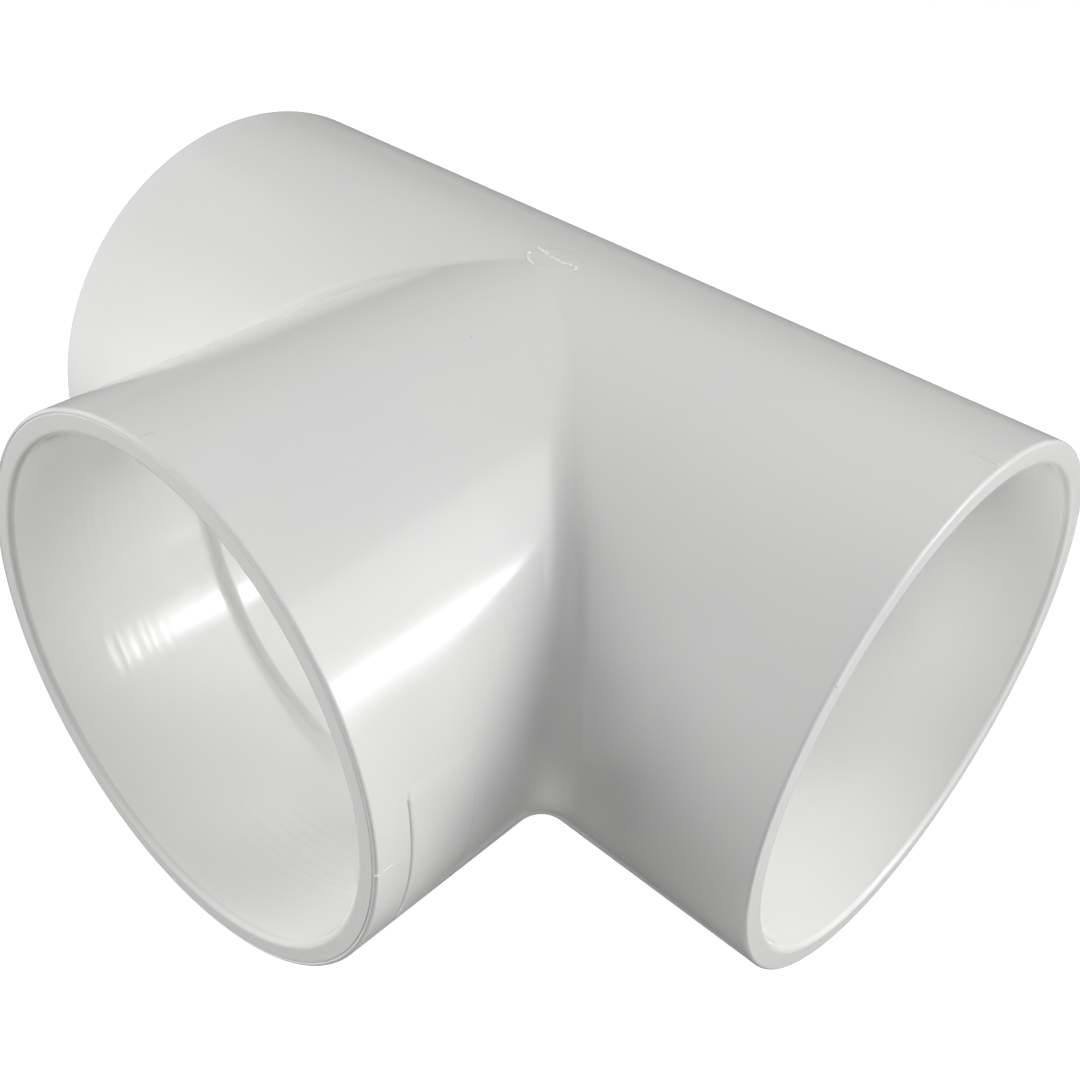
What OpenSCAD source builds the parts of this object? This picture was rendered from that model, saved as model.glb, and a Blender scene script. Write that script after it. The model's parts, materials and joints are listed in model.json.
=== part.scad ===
// Equal socket tee for a 114.3 mm plastic pressure pipe: a straight run with one branch square to it.
// The run lies along X, the branch points along -Y, and the three axes cross at the origin.

/* [Barrels] */
// Outer diameter of the run and of the branch
barrel_od = 126; // [125:0.5:132]
// Distance from the crossing of the axes to each mouth
centre_to_end = 111.5; // [108:0.5:125]
// Radius of the rounded outer edge of each mouth
outer_lip_r = 0.8; // [0.5:0.1:2.5]
// Radius of the rolling-ball fillet in the crotch between the branch and the run
crotch_r = 8; // [4:0.5:12]

/* [Sockets] */
// Outer diameter of the pipe that each socket takes
pipe_od = 114.3; // [113:0.1:115]
// Radial gap between the pipe and the socket wall, which the solvent cement fills
socket_gap = 0.25; // [0.1:0.05:0.4]
// Depth of each socket, from its mouth to the pipe stop
socket_depth = 50.8; // [40:0.1:52]
// Radius of the rounded inner edge of each mouth
inner_lip_r = 1.4; // [0.5:0.1:1.5]
// Diameter of the waterway behind the pipe stops
waterway_d = 106; // [98:0.5:110]

/* [Moulded details] */
// Height of the alignment marks above the barrel
mark_h = 0.5; // [0.3:0.1:1]
// Width of an alignment mark
mark_w = 1.2; // [0.8:0.1:2]
// Length of the alignment mark at each mouth of the run
run_mark_l = 7; // [4:0.5:12]
// Length of the alignment mark at the mouth of the branch
branch_mark_l = 3.5; // [2:0.5:12]
// Diameter of the round land that the moulding gate leaves on the crown
gate_d = 12; // [8:0.5:12]
// Height of the gate land above the crown
gate_h = 0.1; // [0.05:0.05:0.5]
// Depth of the flat seat in the crown that the gate land stands on
gate_seat_depth = 0.35; // [0.35:0.05:0.8]
// Width of the fine groove round the gate land
gate_groove_w = 0.3; // [0.2:0.05:0.5]
// Length of the thin line left across the gate land where the sprue was cut off
sprue_line_l = 11; // [5:0.5:11]
// Width of the sprue line
sprue_line_w = 0.8; // [0.5:0.1:1.5]
// Length of the blank marking pad along the branch
pad_l = 17; // [10:0.5:20]
// Height of the blank marking pad above the barrel
pad_h = 0.5; // [0.3:0.1:1]
// Angle round the branch that the blank marking pad covers
pad_arc = 38; // [20:1:45]
// Angle from the crown line to the middle of the blank marking pad
pad_from_crown = 95; // [90:1:110]
// Distance from the mouth of the branch to the blank marking pad
pad_from_mouth = 8.5; // [5:0.5:12]

/* [Hidden] */
$fn = 128;

upvc_white = [0.91, 0.91, 0.90];

barrel_r = barrel_od / 2;
socket_r = pipe_od / 2 + socket_gap;
waterway_r = waterway_d / 2;
stop_at = centre_to_end - socket_depth;
gate_seat_z = barrel_r - gate_seat_depth;

// How far a cutter runs past the face that it opens
over = 2;

// The crotch fillet: its ball rolls in the crease between the two barrels. It is drawn out to
// fillet_end degrees from the crotch towards the crown, where the barrels meet almost flush.
fillet_end = 75;
fillet_steps = 30;
fillet_arc_steps = 8;
// How far the fillet's edges dip below the barrels, so that the solids join cleanly
fillet_dip = 0.06;
// How far behind the crease the back of the fillet's solid lies
fillet_root = 3;

// Direction of the sprue line on the crown, measured from +X
sprue_line_turn = -10;
// Height of the sprue line above the gate land
sprue_line_rise = 0.3;

// Facets of the round tool that trims the small marks to the barrel
trim_fn = 720;

// Turns a shape drawn along +Z so that it points along +X, -X or -Y
module along_run() { rotate([0, 90, 0]) children(); }
module along_run_back() { rotate([0, -90, 0]) children(); }
module along_branch() { rotate([90, 0, 0]) children(); }

// One half barrel along +Z from the crossing of the axes, with the rounded outer lip
module half_barrel() {
    rotate_extrude() {
        square([barrel_r - outer_lip_r, centre_to_end]);
        square([barrel_r, centre_to_end - outer_lip_r]);
        translate([barrel_r - outer_lip_r, centre_to_end - outer_lip_r]) circle(outer_lip_r);
    }
}

// Everything that is cut from one arm: the waterway, the socket and the rounded inner lip
module arm_hollow() {
    cylinder(r = waterway_r, h = stop_at + over);
    translate([0, 0, stop_at]) cylinder(r = socket_r, h = socket_depth + over);
    rotate_extrude() difference() {
        translate([waterway_r, centre_to_end - inner_lip_r])
            square([socket_r + inner_lip_r - waterway_r, inner_lip_r + over]);
        translate([socket_r + inner_lip_r, centre_to_end - inner_lip_r]) circle(inner_lip_r);
    }
}

// Centre of the fillet's ball where it touches both barrels, t degrees up from the crotch
function ball_centre(t, side) =
    (barrel_r + crotch_r) * [side * cos(t), -cos(t), sin(t)];
// The points where the ball touches the run and the branch
function touch_run(t, side) = let (c = ball_centre(t, side), k = barrel_r / (barrel_r + crotch_r))
    [c[0], c[1] * k, c[2] * k];
function touch_branch(t, side) = let (c = ball_centre(t, side), k = barrel_r / (barrel_r + crotch_r))
    [c[0] * k, c[1], c[2] * k];
function unit(v) = v / norm(v);
// A point on the fillet, from the run (s = 0) to the branch (s = 1)
function fillet_point(t, s, side) =
    let (c = ball_centre(t, side),
         u = unit(touch_run(t, side) - c),
         v = unit(touch_branch(t, side) - c),
         a = acos(u * v),
         dip = fillet_dip * pow(2 * s - 1, 2))
    c + (crotch_r + dip) * (sin((1 - s) * a) * u + sin(s * a) * v) / sin(a);
// The back of the fillet's solid, inside the walls
function root_point(t, side) = (barrel_r - fillet_root) * [side * cos(t), -cos(t), sin(t)];

// The fillet on one side of the branch, as one ring of points per step along the crease
module crotch_fillet(side) {
    ring = fillet_arc_steps + 2;
    points = [for (i = [0 : fillet_steps])
        let (t = -fillet_end + 2 * fillet_end * i / fillet_steps)
        for (j = [0 : ring - 1])
            j == ring - 1 ? root_point(t, side) : fillet_point(t, j / fillet_arc_steps, side)];
    sides = [for (i = [0 : fillet_steps - 1], j = [0 : ring - 1])
        let (a = i * ring + j, b = i * ring + (j + 1) % ring)
        for (face = [[a, b, b + ring], [a, b + ring, a + ring]]) face];
    first_cap = [for (j = [ring - 1 : -1 : 0]) j];
    last_cap = [for (j = [0 : ring - 1]) fillet_steps * ring + j];
    faces = concat(sides, [first_cap, last_cap]);
    polyhedron(points, side > 0 ? faces : [for (f = faces) [for (k = [len(f) - 1 : -1 : 0]) f[k]]]);
}

// The outside of the tee as one solid: run, branch and both crotch fillets
module outside() {
    along_run() half_barrel();
    along_run_back() half_barrel();
    along_branch() half_barrel();
    crotch_fillet(1);
    crotch_fillet(-1);
}

// The one-piece moulded body
module tee_body() color(upvc_white) difference() {
    outside();
    along_run() arm_hollow();
    along_run_back() arm_hollow();
    along_branch() arm_hollow();
    translate([0, 0, gate_seat_z]) cylinder(d = gate_d + 2 * gate_groove_w, h = over);
}

// The low round land that the gate leaves at the middle of the crown
module gate_land() color(upvc_white)
    translate([0, 0, gate_seat_z]) cylinder(d = gate_d, h = gate_seat_depth + gate_h);

// The thin line where the sprue was cut off, standing on the gate land
module sprue_line() color(upvc_white)
    rotate([0, 0, sprue_line_turn])
    translate([-sprue_line_l / 2, -sprue_line_w / 2, barrel_r + gate_h])
    cube([sprue_line_l, sprue_line_w, sprue_line_rise]);

// A raised mark on the crown line of an arm, drawn along +Z with the crown towards +X. It ends
// where the rounded lip begins.
module crown_mark(length) {
    top_end = centre_to_end - outer_lip_r;
    difference() {
        translate([0, -mark_w / 2, top_end - length]) cube([barrel_r + mark_h, mark_w, length]);
        translate([0, 0, top_end - length - over])
            cylinder(r = barrel_r, h = length + 2 * over, $fn = trim_fn);
    }
}

module right_alignment_mark() color(upvc_white)
    rotate([0, 90, 0]) rotate([0, 0, 180]) crown_mark(run_mark_l);

module left_alignment_mark() color(upvc_white)
    rotate([0, -90, 0]) crown_mark(run_mark_l);

module branch_alignment_mark() color(upvc_white)
    rotate([90, 0, 0]) rotate([0, 0, 90]) crown_mark(branch_mark_l);

// A plain raised pad on the lower side of the branch
module blank_marking_pad() color(upvc_white)
    along_branch() translate([0, 0, centre_to_end - pad_from_mouth - pad_l])
    rotate([0, 0, 90 - pad_from_crown - pad_arc / 2])
    rotate_extrude(angle = pad_arc) translate([barrel_r, 0]) square([pad_h, pad_l]);

tee_body();
gate_land();
sprue_line();
left_alignment_mark();
right_alignment_mark();
branch_alignment_mark();
blank_marking_pad();
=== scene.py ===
"""Visual model of a white uPVC equal tee: a straight run along X and one branch along -Y.

Everything is in metres, in the frame of the CAD model, whose origin is the crossing of the axes.
"""
import json
import math

import bmesh
import bpy
from mathutils import Matrix, Vector, noise


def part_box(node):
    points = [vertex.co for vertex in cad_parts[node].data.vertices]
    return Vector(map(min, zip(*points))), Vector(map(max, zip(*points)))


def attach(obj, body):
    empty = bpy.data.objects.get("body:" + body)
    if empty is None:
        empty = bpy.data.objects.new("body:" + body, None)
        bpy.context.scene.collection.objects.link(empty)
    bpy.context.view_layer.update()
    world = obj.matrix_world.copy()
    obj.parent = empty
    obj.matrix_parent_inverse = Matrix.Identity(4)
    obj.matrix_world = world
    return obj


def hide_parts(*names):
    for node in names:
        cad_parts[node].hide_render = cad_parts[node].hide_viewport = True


MM = 0.001

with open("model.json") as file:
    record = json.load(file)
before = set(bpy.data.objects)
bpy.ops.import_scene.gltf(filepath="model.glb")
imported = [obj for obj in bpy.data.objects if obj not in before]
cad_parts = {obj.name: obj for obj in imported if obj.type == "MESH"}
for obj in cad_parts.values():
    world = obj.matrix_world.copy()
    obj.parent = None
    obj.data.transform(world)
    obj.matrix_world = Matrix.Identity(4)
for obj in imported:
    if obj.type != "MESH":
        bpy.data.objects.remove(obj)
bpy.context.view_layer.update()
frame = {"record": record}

# ---------------------------------------------------------------- sizes, from the frame
body_low, body_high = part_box("tee_body")
BARREL_R = body_high[2]
END = body_high[0]
mounts = {mount["name"]: mount for mount in frame["record"]["mounts"]}
SOCKET_R = mounts["right_socket"]["dims"]["r_mm"] * MM
STOP = mounts["right_pipe_stop"]["pos_m"][0]
WATERWAY_R = 53.0 * MM
CROTCH_R = 8.0 * MM
OUTER_LIP_R = 0.8 * MM
INNER_LIP_R = 1.4 * MM

# Small rounds that the moulding tool leaves on edges inside the tee
STOP_CORNER_R = 0.6 * MM
STOP_EDGE_R = 0.5 * MM
WATERWAY_EDGE_R = 1.5 * MM
# The groove that the mould's joint leaves round the branch's lip
PARTING_DEPTH = 0.15 * MM
# The band of each socket, measured from the crossing, where the core's turning marks show
TURNING_BAND = (76.0 * MM, 98.0 * MM)
TURNING_DEPTH = 0.06 * MM
TURNING_LENGTH = 1.2 * MM

# Steps round a full circle, and across a round
AROUND = 180
FILLET_STEPS = 14
LIP_STEPS = 8
# Lengths of the steps along the barrels, the waterways, the lips' faces, the sockets' walls and
# marked bands, and the pipe stops
BARREL_STEP = 2.5 * MM
WATERWAY_STEP = 3.0 * MM
LIP_FACE_STEP = 0.6 * MM
SOCKET_STEP = 3.0 * MM
BAND_STEP = 0.5 * MM
SHOULDER_STEP = 1.2 * MM
# Steps across the small rounds at the pipe stops
STOP_STEPS = 5
# Width of the narrow band of faces that keeps the shading of a large face flat beside a round
GUARD = 0.25 * MM


# ---------------------------------------------------------------- mesh helpers
def lerp(a, b, t):
    return a + (b - a) * t


def spread(first_step, length, step):
    """Fractions from 0 to 1 along a length, with a narrow step at both ends and even ones between."""
    count = max(2, round(length / step))
    guard = first_step / length
    inner = [lerp(guard, 1 - guard, i / count) for i in range(count + 1)]
    return [0.0] + inner + [1.0]


def add_grid(bm, rows, slot=0):
    """Quads between rows of points, in one material slot. All rows have the same number of points."""
    made = [[bm.verts.new(point) for point in row] for row in rows]
    for row, after in zip(made, made[1:]):
        for j in range(len(row) - 1):
            face = bm.faces.new([row[j], row[j + 1], after[j + 1], after[j]])
            face.material_index = slot


def finish_mesh(bm, name, materials):
    """Welds the patches, drops the faces that a pole has shrunk to nothing and makes the object."""
    bmesh.ops.remove_doubles(bm, verts=bm.verts, dist=2e-6)
    bmesh.ops.dissolve_degenerate(bm, dist=1e-7, edges=bm.edges)
    bmesh.ops.recalc_face_normals(bm, faces=bm.faces)
    for face in bm.faces:
        face.smooth = True
    mesh = bpy.data.meshes.new(name)
    bm.to_mesh(mesh)
    bm.free()
    for material in materials:
        mesh.materials.append(material)
    piece = bpy.data.objects.new(name, mesh)
    bpy.context.scene.collection.objects.link(piece)
    return piece


def run_point(radius, side, x, angle):
    """A point on a cylinder along X. The angle goes up from the branch's side."""
    return Vector((side * x, -radius * math.cos(angle), radius * math.sin(angle)))


def branch_point(radius, y, angle):
    """A point on a cylinder along Y. The angle goes up from the right side."""
    return Vector((radius * math.cos(angle), y, radius * math.sin(angle)))


# ---------------------------------------------------------------- the body
def add_crossing(bm, radius, ball, reach, step, slots):
    """Two equal cylinders that meet as a tee, with a rolling ball's round along the crease.

    Outside, the round is the crotch fillet. Inside, the same surface breaks the sharp edge where
    the waterways meet. The ball's centre lies radius + ball from both axes. The slots are the
    materials of the run and of the branch.
    """
    out = radius + ball
    angles = [2 * math.pi * i / AROUND for i in range(AROUND + 1)]
    for side in (1, -1):
        rows = []
        for angle in angles:
            start = out * max(0.0, math.cos(angle))
            rows.append([run_point(radius, side, lerp(start, reach, u), angle)
                         for u in spread(GUARD, reach, step)])
        add_grid(bm, rows, slots[0])
    rows = []
    for angle in angles:
        start = out * abs(math.cos(angle))
        rows.append([branch_point(radius, -lerp(start, reach, u), angle)
                     for u in spread(GUARD, reach, step)])
    add_grid(bm, rows, slots[1])
    half_turn = [angle - math.pi / 2 for angle in angles[:AROUND // 2 + 1]]
    for side in (1, -1):
        rows = []
        for t in half_turn:
            centre = out * Vector((side * math.cos(t), -math.cos(t), math.sin(t)))
            on_run = run_point(radius, side, out * math.cos(t), t) - centre
            on_branch = Vector((side * radius * math.cos(t), centre.y, radius * math.sin(t))) - centre
            row = []
            for k in range(FILLET_STEPS + 1):
                if on_run.angle(on_branch, 0.0) < 1e-4:
                    towards = on_run.copy()
                else:
                    towards = on_run.slerp(on_branch, k / FILLET_STEPS)
                row.append(centre + towards.normalized() * ball)
            rows.append(row)
        add_grid(bm, rows, slots[0])


def arc(centre, radius, start, end, steps):
    """Points (distance along the arm, radius) on a round of a profile, angles in degrees."""
    angles = [math.radians(lerp(start, end, i / steps)) for i in range(steps + 1)]
    return [(centre[0] + radius * math.cos(a), centre[1] + radius * math.sin(a)) for a in angles]


def line(start, end, step):
    """Points strictly between two points of a profile, with a guard band at both ends."""
    length = math.hypot(end[0] - start[0], end[1] - start[1])
    return [(lerp(start[0], end[0], u), lerp(start[1], end[1], u))
            for u in spread(min(GUARD, length / 4), length, step)[1:-1]]


def mouth_profile(parted):
    """Half section of a mouth's lip, from the barrel's outside to the socket's inside round.

    On a parted lip the mould's joint leaves a fine groove where the outer round meets the face.
    """
    profile = arc((END - OUTER_LIP_R, BARREL_R - OUTER_LIP_R), OUTER_LIP_R, 90, 0, LIP_STEPS)
    if parted:
        for across, deep in ((0.05, 0.5), (0.1, 1.0), (0.24, 1.0), (0.3, 0.5), (0.36, 0.0)):
            profile.append((END - deep * PARTING_DEPTH, BARREL_R - OUTER_LIP_R - across * MM))
    inner = arc((END - INNER_LIP_R, SOCKET_R + INNER_LIP_R), INNER_LIP_R, 0, -90, LIP_STEPS)
    return profile + line(profile[-1], inner[0], LIP_FACE_STEP) + inner


def turning_mark(along):
    """How far the core's turning marks move the socket wall, in the band near the mouth."""
    start, end = TURNING_BAND
    if not start < along < end:
        return 0.0
    fade = math.sin(math.pi * (along - start) / (end - start))
    ripple = noise.noise(Vector((along / TURNING_LENGTH, 3.7, 1.3)))
    return TURNING_DEPTH * fade * ripple


def socket_profile():
    """Half section of a socket, from its lip past the pipe stop to the waterway."""
    lip_end = END - INNER_LIP_R
    corner = arc((STOP + STOP_CORNER_R, SOCKET_R - STOP_CORNER_R), STOP_CORNER_R, 90, 180, STOP_STEPS)
    edge = arc((STOP - STOP_EDGE_R, WATERWAY_R + STOP_EDGE_R), STOP_EDGE_R, 0, -90, STOP_STEPS)
    band_start, band_end = TURNING_BAND
    outer_part = line((lip_end, SOCKET_R), (band_end, SOCKET_R), SOCKET_STEP)
    band_steps = round((band_end - band_start) / BAND_STEP)
    stations = [lerp(band_end, band_start, i / band_steps) for i in range(band_steps + 1)]
    band = [(along, SOCKET_R + turning_mark(along)) for along in stations]
    inner_part = line((band_start, SOCKET_R), corner[0], SOCKET_STEP)
    shoulder = line(corner[-1], edge[0], SHOULDER_STEP)
    return [(lip_end, SOCKET_R)] + outer_part + band + inner_part + corner + shoulder + edge


def add_turned(bm, profile, place, slot):
    """Turns a half section round an arm; place says where a point of it goes."""
    rows = []
    for i in range(AROUND + 1):
        angle = 2 * math.pi * i / AROUND
        rows.append([place(along, radius, angle) for along, radius in profile])
    add_grid(bm, rows, slot)


def make_body(outside, run_bore, branch_bore):
    arms = ((lambda along, radius, angle: run_point(radius, 1, along, angle), 1, False),
            (lambda along, radius, angle: run_point(radius, -1, along, angle), 1, False),
            (lambda along, radius, angle: branch_point(radius, -along, angle), 2, True))
    bm = bmesh.new()
    add_crossing(bm, BARREL_R, CROTCH_R, END - OUTER_LIP_R, BARREL_STEP, (0, 0))
    add_crossing(bm, WATERWAY_R, WATERWAY_EDGE_R, STOP - STOP_EDGE_R, WATERWAY_STEP, (1, 2))
    for place, bore_slot, parted in arms:
        add_turned(bm, mouth_profile(parted), place, 0)
        add_turned(bm, socket_profile(), place, bore_slot)
    return finish_mesh(bm, "moulded_body", [outside, run_bore, branch_bore])


# ---------------------------------------------------------------- low relief on the skin
# How far the underside of a relief lies below the skin it stands on
SINK = 0.3 * MM


def crown_skin(x, y, height):
    """A point above the crown, where the run and the branch cross."""
    run = math.sqrt(BARREL_R ** 2 - y ** 2)
    branch = math.sqrt(BARREL_R ** 2 - x ** 2) if y < 0 else 0.0
    return Vector((x, y, max(run, branch) + height))


def run_top_skin(x, across, height):
    """A point above the run's crown line."""
    return run_point(BARREL_R + height, 1, x, math.pi / 2 + across / BARREL_R)


def branch_top_skin(y, across, height):
    """A point above the branch's crown line."""
    return branch_point(BARREL_R + height, y, math.pi / 2 - across / BARREL_R)


def branch_side_skin(y, across, height):
    """A point above the line along the right side of the branch. Across goes up."""
    return branch_point(BARREL_R + height, y, across / BARREL_R)


def add_disc(bm, skin, centre, profile, around):
    """A round relief at a place in metres. The profile's pairs (radius, height) are in millimetres."""
    profile = [(radius * MM, height * MM) for radius, height in profile]
    rings = profile + [(radius, -SINK) for radius, height in reversed(profile)]
    rows = []
    for i in range(around + 1):
        angle = 2 * math.pi * i / around
        rows.append([skin(centre[0] + radius * math.cos(angle),
                          centre[1] + radius * math.sin(angle), height)
                     for radius, height in rings])
    add_grid(bm, rows)


def add_ridge(bm, skin, path, half_width, height, roughness=0.0, steps=8, slot=0):
    """A low rounded ridge along a path on the skin, drawn out to nothing at both ends.

    Half width and height are functions of the fraction of the way along.
    """
    rows = []
    last = len(path) - 1
    for i, point in enumerate(path):
        t = i / last
        before, after = path[max(i - 1, 0)], path[min(i + 1, last)]
        length = math.hypot(after[0] - before[0], after[1] - before[1])
        side = ((before[1] - after[1]) / length, (after[0] - before[0]) / length)
        closing = math.sqrt(max(0.0, 1 - (2 * t - 1) ** 8))
        uneven = 1 + roughness * noise.noise(Vector((i * 0.7, length * 900, 0.4)))
        wide = half_width(t) * closing * uneven
        tall = (height(t) * uneven + SINK) * closing - SINK
        row = []
        for k in range(steps + 1):
            a = math.pi * k / steps
            row.append(skin(point[0] + side[0] * wide * math.cos(a),
                            point[1] + side[1] * wide * math.cos(a),
                            lerp(-SINK, tall, math.sin(a) ** 0.6)))
        rows.append(row + [row[0]])
    add_grid(bm, rows, slot)


def smooth_path(corners, count):
    """Evenly spaced points along a Catmull-Rom curve through the corners, in millimetres."""
    padded = [corners[0]] + corners + [corners[-1]]
    points = []
    for i in range(count + 1):
        where = min(i / count * (len(corners) - 1), len(corners) - 1.000001)
        k = int(where)
        t = where - k
        p0, p1, p2, p3 = padded[k:k + 4]
        points.append(tuple(
            0.5 * MM * (2 * b + (c - a) * t + (2 * a - 5 * b + 4 * c - d) * t ** 2
                        + (3 * b - a - 3 * c + d) * t ** 3)
            for a, b, c, d in zip(p0, p1, p2, p3)))
    return points


# A small round pip, as pairs (radius, height) in millimetres: on the sprue line and on the side mark
SPRUE_PIP = [(0.0, 0.5), (0.25, 0.46), (0.42, 0.3), (0.52, 0.08), (0.56, -0.1)]
SIDE_PIP = [(0.0, 0.2), (0.2, 0.17), (0.35, 0.02), (0.4, -0.1)]


def make_gate(flat, scar):
    """The shallow round land of the gate, with the torn parts of its edge, whitened by strain and made
    lighter with a painted highlight.
    """
    bm = bmesh.new()
    land = [(0.0, 0.05), (2.0, 0.05), (4.0, 0.05), (5.4, 0.05), (5.8, 0.05), (6.0, 0.03),
            (6.2, -0.05), (6.3, -0.15)]
    add_disc(bm, crown_skin, (0, 0), land, 96)
    torn = smooth_path([(-6.1, -1.6), (-5.9, -2.4), (-5.1, -3.3), (-3.8, -4.4), (-2.4, -5.1),
                        (-1.6, -5.3)], 60)
    add_ridge(bm, crown_skin, torn, lambda t: lerp(0.4, 0.3, t) * MM,
              lambda t: lerp(0.42, 0.25, t) * MM, roughness=0.3, slot=1)
    faint = smooth_path([(-1.2, -5.5), (1.4, -5.1), (3.4, -4.2), (5.6, -2.3), (6.6, 0.2), (5.9, 2.7),
                         (4.2, 3.9)], 80)
    add_ridge(bm, crown_skin, faint, lambda t: 0.24 * MM, lambda t: 0.14 * MM, roughness=0.8)
    outer = smooth_path([(-4.7, -6.4), (-3.2, -7.1), (-1.7, -7.6)], 24)
    add_ridge(bm, crown_skin, outer, lambda t: 0.25 * MM, lambda t: 0.14 * MM, roughness=0.3)
    return finish_mesh(bm, "gate_relief", [flat, scar])


def make_sprue(material):
    """The torn line left when the sprue was cut off, in two parts, with a pip at its right end."""
    bm = bmesh.new()
    left = smooth_path([(-6.9, 1.6), (-5.0, 1.1), (-3.4, 0.6), (-2.2, 0.3)], 48)
    add_ridge(bm, crown_skin, left, lambda t: lerp(0.3, 0.4, t) * MM,
              lambda t: lerp(0.42, 0.5, t) * MM, roughness=0.5)
    right = smooth_path([(-1.9, 0.3), (0.5, 0.1), (3.0, 0.0), (5.1, 0.3)], 48)
    add_ridge(bm, crown_skin, right, lambda t: lerp(0.32, 0.5, t) * MM,
              lambda t: lerp(0.42, 0.5, t) * MM, roughness=0.5)
    tick = smooth_path([(-4.9, 2.4), (-4.2, 2.1), (-3.6, 1.5)], 12)
    add_ridge(bm, crown_skin, tick, lambda t: 0.2 * MM, lambda t: 0.2 * MM)
    add_disc(bm, crown_skin, (5.9 * MM, 0.3 * MM), SPRUE_PIP, 24)
    return finish_mesh(bm, "sprue_trace", [material])


def straight_path(start, end, count):
    """Points on a line along the skin, at a constant place across it."""
    return [(lerp(start, end, i / count), 0.0) for i in range(count + 1)]


def make_mark(name, node, skin, axis, tall, material):
    """An alignment mark on a crown line, growing towards the mouth to the height tall."""
    low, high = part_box(node)
    inner, outer = sorted((low[axis], high[axis]), key=abs)
    bm = bmesh.new()
    add_ridge(bm, skin, straight_path(inner, outer, 36),
              lambda t: lerp(0.3, 0.6, t) * MM, lambda t: lerp(0.05 * MM, tall, t))
    if skin is branch_top_skin:
        # The same mark shows again, fainter, half way down the branch's side
        add_ridge(bm, branch_side_skin, straight_path(inner, outer, 24),
                  lambda t: 0.25 * MM, lambda t: 0.15 * MM)
        add_disc(bm, branch_side_skin, (outer - 0.5 * MM, -0.1 * MM), SIDE_PIP, 20)
    return finish_mesh(bm, name, [material])


# Widths of the pad's edges: near the mouth, far from it, below and above
PAD_RAMPS = (0.35 * MM, 0.8 * MM, 1.5 * MM, 3.5 * MM)
# Heights of the pad near the mouth and far from it
PAD_HEIGHTS = (0.38 * MM, 0.22 * MM)
PAD_CORNER_R = 3.0 * MM
# How far the pad's skirt lies below the barrel's skin
PAD_SKIRT = 0.05 * MM


def make_pad(material):
    """The blank raised field on the lower right of the branch, with rounded corners."""
    low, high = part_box("blank_marking_pad")
    first, last = low[1], high[1]
    bottom = BARREL_R * math.atan2(low[2], math.sqrt(BARREL_R ** 2 - low[2] ** 2))
    top = BARREL_R * math.atan2(high[2], math.sqrt(BARREL_R ** 2 - high[2] ** 2))

    def height(y, up):
        """The end near the mouth is crisp, the other edges are softer and lower."""
        gaps = ((y - first) / PAD_RAMPS[0], (last - y) / PAD_RAMPS[1],
                (up - bottom) / PAD_RAMPS[2], (top - up) / PAD_RAMPS[3])
        rise = min(max(min(gaps), 0.0), 1.0)
        inside_y = min(y - first, last - y)
        inside_up = min(up - bottom, top - up)
        if inside_y < PAD_CORNER_R and inside_up < PAD_CORNER_R:
            inside = PAD_CORNER_R - math.hypot(PAD_CORNER_R - inside_y, PAD_CORNER_R - inside_up)
            rise = min(rise, max(inside / PAD_RAMPS[1], 0.0))
        rise = rise * rise * (3 - 2 * rise)
        full = lerp(PAD_HEIGHTS[0], PAD_HEIGHTS[1], (y - first) / (last - first))
        return lerp(-PAD_SKIRT, full, rise)

    ys = [lerp(first, last, u) for u in spread(0.2 * MM, last - first, 0.4 * MM)]
    ups = [lerp(bottom, top, u) for u in spread(0.2 * MM, top - bottom, 0.6 * MM)]
    rows = []
    for up in ups:
        over = [branch_side_skin(y, up, height(y, up)) for y in ys]
        under = [branch_side_skin(y, up, -SINK) for y in reversed(ys)]
        rows.append(over + under + over[:1])
    # The first and the last ring are folded flat, which closes the ends
    folded = []
    for up in (bottom, top):
        under = [branch_side_skin(y, up, -SINK) for y in reversed(ys)]
        folded.append(under[::-1] + under + under[-1:])
    bm = bmesh.new()
    add_grid(bm, [folded[0]] + rows + [folded[1]])
    return finish_mesh(bm, "blank_pad", [material])


# ---------------------------------------------------------------- camera and lights
# The camera looks at the open branch and the top of the run from 356 mm away.
CAMERA_AZIMUTH = 40.604
CAMERA_ELEVATION = 35.743
CAMERA_ROLL = 4.208
CAMERA_DISTANCE = 355.63 * MM
CAMERA_OFFSET = (4.656 * MM, 4.303 * MM)
CAMERA_LENS = 47.02
CAMERA_SHIFT = (0.0208, -0.0334)


def make_camera():
    azimuth, elevation, roll = (math.radians(angle) for angle in
                                (CAMERA_AZIMUTH, CAMERA_ELEVATION, CAMERA_ROLL))
    back = Vector((math.sin(azimuth) * math.cos(elevation),
                   -math.cos(azimuth) * math.cos(elevation), math.sin(elevation)))
    level_right = Vector((math.cos(azimuth), math.sin(azimuth), 0))
    level_up = back.cross(level_right)
    right = level_right * math.cos(roll) + level_up * math.sin(roll)
    up = level_up * math.cos(roll) - level_right * math.sin(roll)
    data = bpy.data.cameras.new("camera")
    data.sensor_width = 36.0
    data.lens = CAMERA_LENS
    data.shift_x, data.shift_y = CAMERA_SHIFT
    camera = bpy.data.objects.new("camera", data)
    turn = Matrix((right, up, back)).transposed().to_4x4()
    place = back * CAMERA_DISTANCE - right * CAMERA_OFFSET[0] - up * CAMERA_OFFSET[1]
    camera.matrix_world = Matrix.Translation(place) @ turn
    bpy.context.scene.collection.objects.link(camera)
    bpy.context.scene.camera = camera


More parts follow.
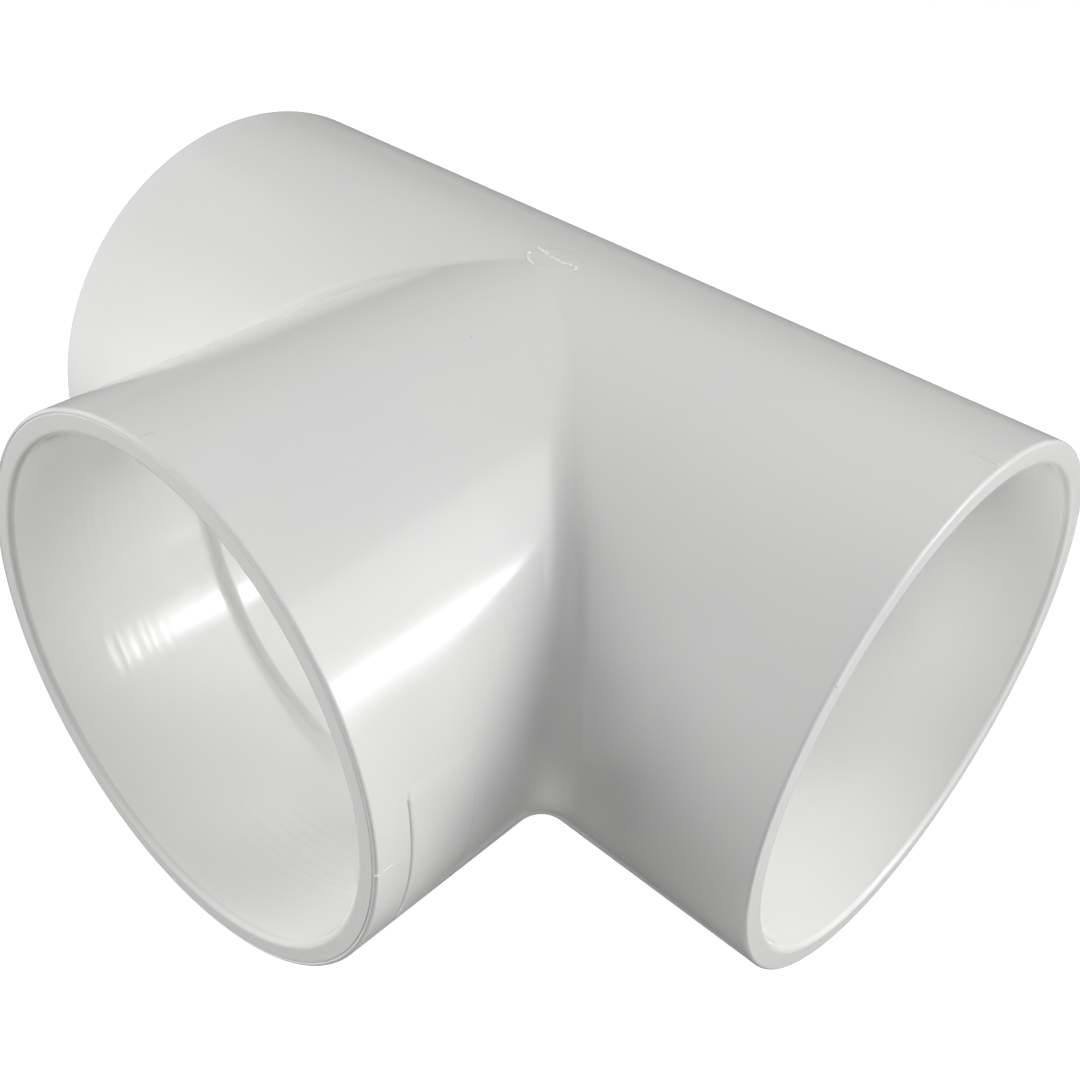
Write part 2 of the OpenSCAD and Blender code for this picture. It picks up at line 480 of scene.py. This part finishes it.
# Softboxes 1.2 m from the crossing: name, azimuth from +X towards +Y and elevation in degrees,
# width and height in metres, power in watts, whether they light the skin, and whether they
# show as reflections. The three key boxes lie one inside the other, so that the highlight has soft
# edges. From the main camera, the one behind shows at the silhouette, where the skin is seen edge on.
SOFTBOX_DISTANCE = 1.2
SOFTBOXES = (
    ("key_core", 30, 18, 0.28, 0.13, 0.60, True, True),
    ("key_middle", 29, 17.5, 0.38, 0.22, 0.75, True, True),
    ("key_edge", 28.5, 17, 0.50, 0.38, 1.00, False, True),
    ("glow", 33, 28, 0.90, 0.90, 2.40, False, True),
    ("behind", 130, -30, 2.20, 1.80, 2.60, False, True),
    ("right_high", 40, 35, 0.45, 0.45, 6.60, True, False),
    ("right_front", 20, 12, 0.45, 0.45, 3.50, True, False),
    ("right_low", 40, -10, 0.45, 0.45, 4.20, True, False),
    ("right_edge", 0, -10, 0.45, 0.45, 1.29, True, False),
    ("left_back", 180, 35, 0.45, 0.45, 6.40, True, False),
    ("left_high", 220, 35, 0.45, 0.45, 1.60, True, False),
    ("left_low", 220, -10, 0.45, 0.45, 7.17, True, False),
    ("left_front", 242, 12, 0.45, 0.45, 2.80, True, False),
    ("front", 300, 35, 0.45, 0.45, 4.30, True, False),
    ("under", 0, -80, 0.45, 0.45, 8.40, True, False),
)
WORLD_STRENGTH = 0.02


def make_softbox(name, azimuth, elevation, width, height, power, lights, reflected):
    a, e = math.radians(azimuth), math.radians(elevation)
    way = Vector((math.cos(a) * math.cos(e), math.sin(a) * math.cos(e), math.sin(e)))
    data = bpy.data.lights.new(name, "AREA")
    data.shape = "RECTANGLE"
    data.size, data.size_y = width, height
    data.energy = power
    lamp = bpy.data.objects.new(name, data)
    lamp.matrix_world = Matrix.Translation(way * SOFTBOX_DISTANCE) @ \
        way.to_track_quat("Z", "Y").to_matrix().to_4x4()
    lamp.visible_camera = False
    lamp.visible_diffuse = lights
    lamp.visible_glossy = reflected
    bpy.context.scene.collection.objects.link(lamp)


# ---------------------------------------------------------------- materials
# Index of refraction of rigid PVC
PVC_IOR = 1.53
SPECKS_PER_METRE = 60.0
# Density of the noise behind the turned rings
RINGS_PER_METRE = 1600.0


def new_material(name):
    material = bpy.data.materials.new(name)
    material.use_nodes = True
    nodes = material.node_tree.nodes
    return material, nodes, material.node_tree.links, nodes["Principled BSDF"]


def add_noise(nodes, links, vector, scale, detail=2.0):
    texture = nodes.new("ShaderNodeTexNoise")
    texture.inputs["Scale"].default_value = scale
    texture.inputs["Detail"].default_value = detail
    links.new(vector, texture.inputs["Vector"])
    return texture.outputs["Fac"]


def add_range(nodes, links, value, source, target):
    """Maps a value from the source range to the target range and clamps it."""
    node = nodes.new("ShaderNodeMapRange")
    for name, number in zip(("From Min", "From Max", "To Min", "To Max"), source + target):
        node.inputs[name].default_value = number
    links.new(value, node.inputs["Value"])
    return node.outputs["Result"]


def add_bump(nodes, links, height, distance, normal=None):
    node = nodes.new("ShaderNodeBump")
    node.inputs["Distance"].default_value = distance
    links.new(height, node.inputs["Height"])
    if normal is not None:
        links.new(normal, node.inputs["Normal"])
    return node.outputs["Normal"]


def add_specks(nodes, links, vector):
    """One where a rare dark speck a few tenths of a millimetre wide sits, zero elsewhere."""
    cells = nodes.new("ShaderNodeTexVoronoi")
    cells.inputs["Scale"].default_value = SPECKS_PER_METRE
    links.new(vector, cells.inputs["Vector"])
    return add_range(nodes, links, cells.outputs["Distance"], (0.010, 0.016), (1.0, 0.0))


def add_turning(nodes, links, vector, axis):
    """Fine rings round a bore, from noise that changes only along its axis."""
    split = nodes.new("ShaderNodeSeparateXYZ")
    links.new(vector, split.inputs[0])
    join = nodes.new("ShaderNodeCombineXYZ")
    links.new(split.outputs[axis], join.inputs["X"])
    return add_noise(nodes, links, join.outputs[0], RINGS_PER_METRE, 3.0)


def upvc_material(name, white, roughness, waviness, bore_axis=None):
    """Satin white uPVC, outside or in a bore. Waviness is the height in metres of its long ripples."""
    material, nodes, links, shader = new_material(name)
    place = nodes.new("ShaderNodeTexCoord").outputs["Object"]
    tone = add_range(nodes, links, add_noise(nodes, links, place, 16.0), (0.35, 0.65), (0.0, 1.0))
    tint = nodes.new("ShaderNodeMix")
    tint.data_type = "RGBA"
    links.new(tone, tint.inputs["Factor"])
    tint.inputs["A"].default_value = (white, white * 0.998, white * 0.985, 1)
    tint.inputs["B"].default_value = (white * 0.985, white * 0.985, white * 0.978, 1)
    colour = tint.outputs["Result"]
    if bore_axis is None:
        speck = nodes.new("ShaderNodeMix")
        speck.data_type = "RGBA"
        links.new(add_specks(nodes, links, place), speck.inputs["Factor"])
        links.new(colour, speck.inputs["A"])
        speck.inputs["B"].default_value = (0.45, 0.43, 0.38, 1)
        colour = speck.outputs["Result"]
    links.new(colour, shader.inputs["Base Color"])
    matt = add_range(nodes, links, add_noise(nodes, links, place, 140.0, 4.0), (0.3, 0.7),
                     (roughness - 0.03, roughness + 0.04))
    links.new(matt, shader.inputs["Roughness"])
    shader.inputs["IOR"].default_value = PVC_IOR
    normal = add_bump(nodes, links, add_noise(nodes, links, place, 70.0, 1.0), waviness)
    normal = add_bump(nodes, links, add_noise(nodes, links, place, 1500.0, 1.0), 2e-6, normal)
    if bore_axis is not None:
        normal = add_bump(nodes, links, add_turning(nodes, links, place, bore_axis), 8e-6, normal)
    links.new(normal, shader.inputs["Normal"])
    return material


def scar_material():
    """uPVC torn where the sprue was cut off: whitened by the strain, and lighter still as a painted
    highlight that stands in for the glint on the torn edges.
    """
    material, nodes, links, shader = new_material("upvc_gate_scar")
    place = nodes.new("ShaderNodeTexCoord").outputs["Object"]
    grain = add_noise(nodes, links, place, 1800.0, 4.0)
    tint = nodes.new("ShaderNodeMix")
    tint.data_type = "RGBA"
    links.new(add_range(nodes, links, grain, (0.3, 0.7), (0.0, 1.0)), tint.inputs["Factor"])
    # These light whites are strain whitening and also a painted highlight for the glint on the torn
    # edges
    tint.inputs["A"].default_value = (0.96, 0.96, 0.94, 1)
    tint.inputs["B"].default_value = (0.90, 0.90, 0.88, 1)
    links.new(tint.outputs["Result"], shader.inputs["Base Color"])
    links.new(add_range(nodes, links, grain, (0.3, 0.7), (0.1, 0.2)), shader.inputs["Roughness"])
    shader.inputs["IOR"].default_value = PVC_IOR
    links.new(add_bump(nodes, links, grain, 4e-6), shader.inputs["Normal"])
    return material


def floor_material():
    """A pale sweep that is bright of its own, so that only a soft shadow shows on it."""
    material, nodes, links, shader = new_material("floor")
    place = nodes.new("ShaderNodeTexCoord").outputs["Object"]
    tone = add_noise(nodes, links, place, 6.0)
    links.new(add_range(nodes, links, tone, (0.3, 0.7), (0.78, 0.82)), shader.inputs["Roughness"])
    shader.inputs["Base Color"].default_value = (0.30, 0.30, 0.30, 1)
    shader.inputs["Specular IOR Level"].default_value = 0.0
    shader.inputs["Emission Color"].default_value = (1, 1, 1, 1)
    shader.inputs["Emission Strength"].default_value = 0.85
    return material


def make_floor():
    """A round floor that curves up into a wall. It gives no light or reflection to the object."""
    profile = [(0.0, 0.0), (0.6, 0.0), (1.8, 0.0)]
    profile += [(1.8 + 0.8 * math.sin(math.radians(a)), 0.8 - 0.8 * math.cos(math.radians(a)))
                for a in range(10, 91, 10)] + [(2.6, 2.6)]
    bm = bmesh.new()
    rows = []
    for i in range(97):
        angle = 2 * math.pi * i / 96
        rows.append([Vector((radius * math.cos(angle), radius * math.sin(angle), height))
                     for radius, height in profile])
    add_grid(bm, rows)
    floor = finish_mesh(bm, "floor", [floor_material()])
    floor.location.z = body_low[2]
    floor.visible_diffuse = False
    floor.visible_glossy = False
    floor.visible_shadow = False


# ---------------------------------------------------------------- the scene
def use_piece(piece, node):
    """Fastens a piece to the body, in the place of a CAD node."""
    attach(piece, "root")
    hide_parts(node)


bpy.context.scene.view_settings.view_transform = "Standard"
make_camera()
# The whites are fitted values. One plastic would have one white: the lighter whites in the bores are
# painted light, standing in for light falling inside the bores.
outside = upvc_material("upvc_outside", white=0.80, roughness=0.12, waviness=2.0e-5)
run_bore = upvc_material("upvc_run_bore", white=0.88, roughness=0.08, waviness=1.5e-5, bore_axis="X")
branch_bore = upvc_material("upvc_branch_bore", white=0.92, roughness=0.08, waviness=1.5e-5,
                            bore_axis="Y")
use_piece(make_body(outside, run_bore, branch_bore), "tee_body")
# The scar's light white, on the gate's torn edge and on the sprue line, is partly a painted highlight
scar = scar_material()
use_piece(make_gate(outside, scar), "gate_land")
use_piece(make_sprue(scar), "sprue_line")

for name, node, skin, axis, tall in (
        ("right_mark", "right_alignment_mark", run_top_skin, 0, 0.4 * MM),
        ("left_mark", "left_alignment_mark", run_top_skin, 0, 0.4 * MM),
        ("branch_mark", "branch_alignment_mark", branch_top_skin, 1, 0.2 * MM)):
    use_piece(make_mark(name, node, skin, axis, tall, outside), node)
use_piece(make_pad(outside), "blank_marking_pad")

make_floor()
world = bpy.data.worlds.new("world")
world.use_nodes = True
world.node_tree.nodes["Background"].inputs["Color"].default_value = (1, 1, 1, 1)
world.node_tree.nodes["Background"].inputs["Strength"].default_value = WORLD_STRENGTH
bpy.context.scene.world = world
for softbox in SOFTBOXES:
    make_softbox(*softbox)
